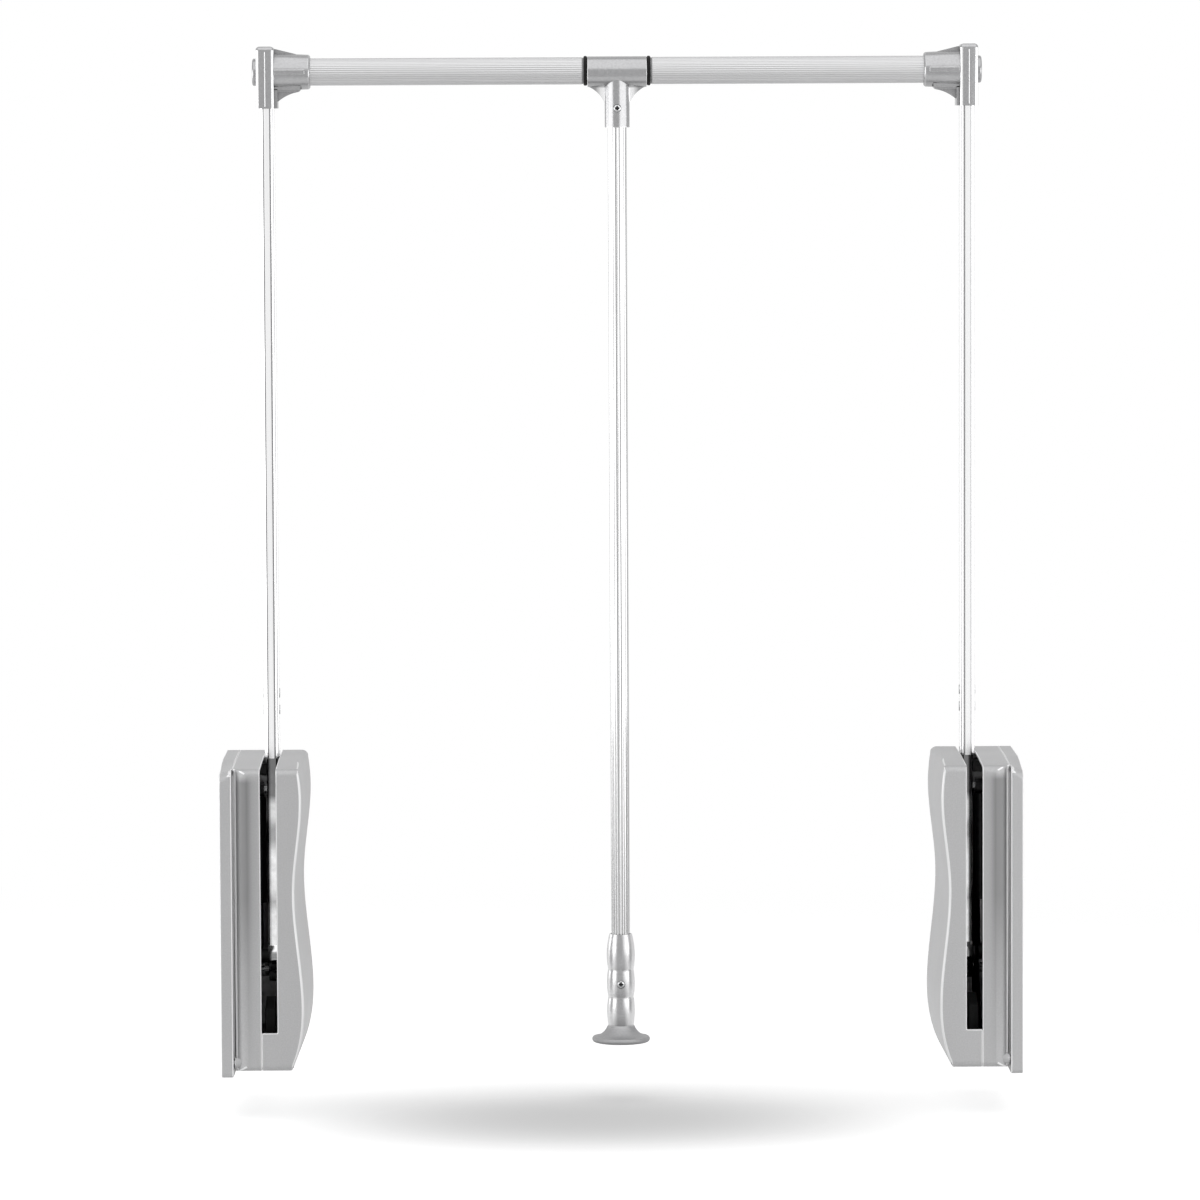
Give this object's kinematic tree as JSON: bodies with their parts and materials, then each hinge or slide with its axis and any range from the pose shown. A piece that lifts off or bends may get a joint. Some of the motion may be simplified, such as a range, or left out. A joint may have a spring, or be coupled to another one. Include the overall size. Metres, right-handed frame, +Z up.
{
  "type": "pull down closet rod",
  "caption": "Wardrobe lift: a telescopic hanging rail on flat arms that swing out and down from spring housings on the side panels, with a pull rod and grip hanging at the centre.",
  "frame": {"origin": "where the swing axis meets the face of the left wardrobe panel, in the plane of the left housing's wall face", "axes": "+X from the left panel to the right one, along the swing axis and the hanging rail; +Y towards the back of the wardrobe; +Z up"},
  "size_m": [0.66, 0.146, 0.846],
  "materials": {
    "housing_plastic": "satin silver-grey moulding",
    "chassis_steel": "zinc-plated sheet",
    "lever_steel": "zinc-plated bar",
    "screw_steel": "plated",
    "dark_nylon": "matte",
    "black_rubber": "matte",
    "strut_paint": "satin black",
    "polished_rod": "polished",
    "arm_aluminium": "bright anodised",
    "rail_aluminium": "fluted, satin anodised",
    "cast_zinc": "satin silver paint",
    "grip_plastic": "satin silver paint"
  },
  "bodies": {
    "left_housing": {"left_mount_plate": "housing_plastic", "left_outer_cover": "housing_plastic", "left_inner_cover": "housing_plastic", "left_chassis": "chassis_steel", "left_cover_screws": "screw_steel", "left_chassis_screws": "screw_steel", "left_pivot_bushes": "dark_nylon", "left_strut_pin": "screw_steel", "left_stop_buffer": "black_rubber"},
    "left_frame": {"left_lever": "lever_steel", "left_arm_tube": "arm_aluminium", "left_arm_rivets": "screw_steel", "left_pivot_pin": "screw_steel", "left_pivot_clip": "screw_steel", "left_pivot_spacers": "dark_nylon", "left_corner_bracket": "cast_zinc", "left_bracket_cap": "cast_zinc", "left_bracket_screws": "screw_steel", "left_rail_tube": "rail_aluminium", "left_rail_guide": "dark_nylon"},
    "left_strut_cylinder": {"left_strut_cylinder": "strut_paint"},
    "left_strut_rod": {"left_strut_rod": "polished_rod"},
    "right_housing": {"right_mount_plate": "housing_plastic", "right_outer_cover": "housing_plastic", "right_inner_cover": "housing_plastic", "right_chassis": "chassis_steel", "right_cover_screws": "screw_steel", "right_chassis_screws": "screw_steel", "right_pivot_bushes": "dark_nylon", "right_strut_pin": "screw_steel", "right_stop_buffer": "black_rubber"},
    "right_frame": {"right_lever": "lever_steel", "right_arm_tube": "arm_aluminium", "right_arm_rivets": "screw_steel", "right_pivot_pin": "screw_steel", "right_pivot_clip": "screw_steel", "right_pivot_spacers": "dark_nylon", "right_corner_bracket": "cast_zinc", "right_bracket_cap": "cast_zinc", "right_bracket_screws": "screw_steel", "right_rail_tube": "rail_aluminium", "right_rail_guide": "dark_nylon"},
    "right_strut_cylinder": {"right_strut_cylinder": "strut_paint"},
    "right_strut_rod": {"right_strut_rod": "polished_rod"},
    "centre_rail": {"centre_tube": "rail_aluminium", "tee_rings": "black_rubber"},
    "pull_rod": {"tee_fitting": "cast_zinc", "tee_bushes": "dark_nylon", "tee_screw": "screw_steel", "pull_tube": "rail_aluminium", "pull_grip": "grip_plastic", "grip_screw": "screw_steel"}
  },
  "joints": [
    {"name": "left_swing", "type": "hinge", "parent": "left_housing", "child": "left_frame", "pos_m": [0, 0, 0], "axis": [1, 0, 0], "range_deg": [0, 105], "stiffness_Nm_per_rad": 6, "springref_deg": -114.59},
    {"name": "width_slide", "type": "slide", "parent": "left_housing", "child": "right_housing", "axis": [1, 0, 0], "range_m": [0, 0.2]},
    {"name": "right_swing", "type": "hinge", "parent": "right_housing", "child": "right_frame", "pos_m": [0.66, 0, 0], "axis": [1, 0, 0], "range_deg": [0, 105]},
    {"name": "centre_slide", "type": "slide", "parent": "left_frame", "child": "centre_rail", "axis": [1, 0, 0], "range_m": [0, 0.1]},
    {"name": "pull_swing", "type": "hinge", "parent": "centre_rail", "child": "pull_rod", "pos_m": [0.33, 0, 0.737], "axis": [1, 0, 0], "range_deg": [-115, 20]},
    {"name": "left_strut_tilt", "type": "hinge", "parent": "left_housing", "child": "left_strut_cylinder", "pos_m": [0.0275, 0.02, 0.138], "axis": [1, 0, 0], "range_deg": [-4, 1]},
    {"name": "left_strut_stroke", "type": "slide", "parent": "left_strut_cylinder", "child": "left_strut_rod", "axis": [0, 0.031, 0.9995], "range_m": [0, 0.031]},
    {"name": "right_strut_tilt", "type": "hinge", "parent": "right_housing", "child": "right_strut_cylinder", "pos_m": [0.6325, 0.02, 0.138], "axis": [1, 0, 0], "range_deg": [-4, 1]},
    {"name": "right_strut_stroke", "type": "slide", "parent": "right_strut_cylinder", "child": "right_strut_rod", "axis": [0, 0.031, 0.9995], "range_m": [0, 0.031]}
  ],
  "couplings": [
    {"joint": "right_swing", "follows": "left_swing", "ratio": 1},
    {"joint": "centre_slide", "follows": "width_slide", "ratio": 0.5},
    {"joint": "left_strut_tilt", "follows": "left_swing", "ratio": -0.035484},
    {"joint": "left_strut_stroke", "follows": "left_swing", "m_per_rad": 0.016643},
    {"joint": "right_strut_tilt", "follows": "left_swing", "ratio": -0.035484},
    {"joint": "right_strut_stroke", "follows": "left_swing", "m_per_rad": 0.016643}
  ]
}
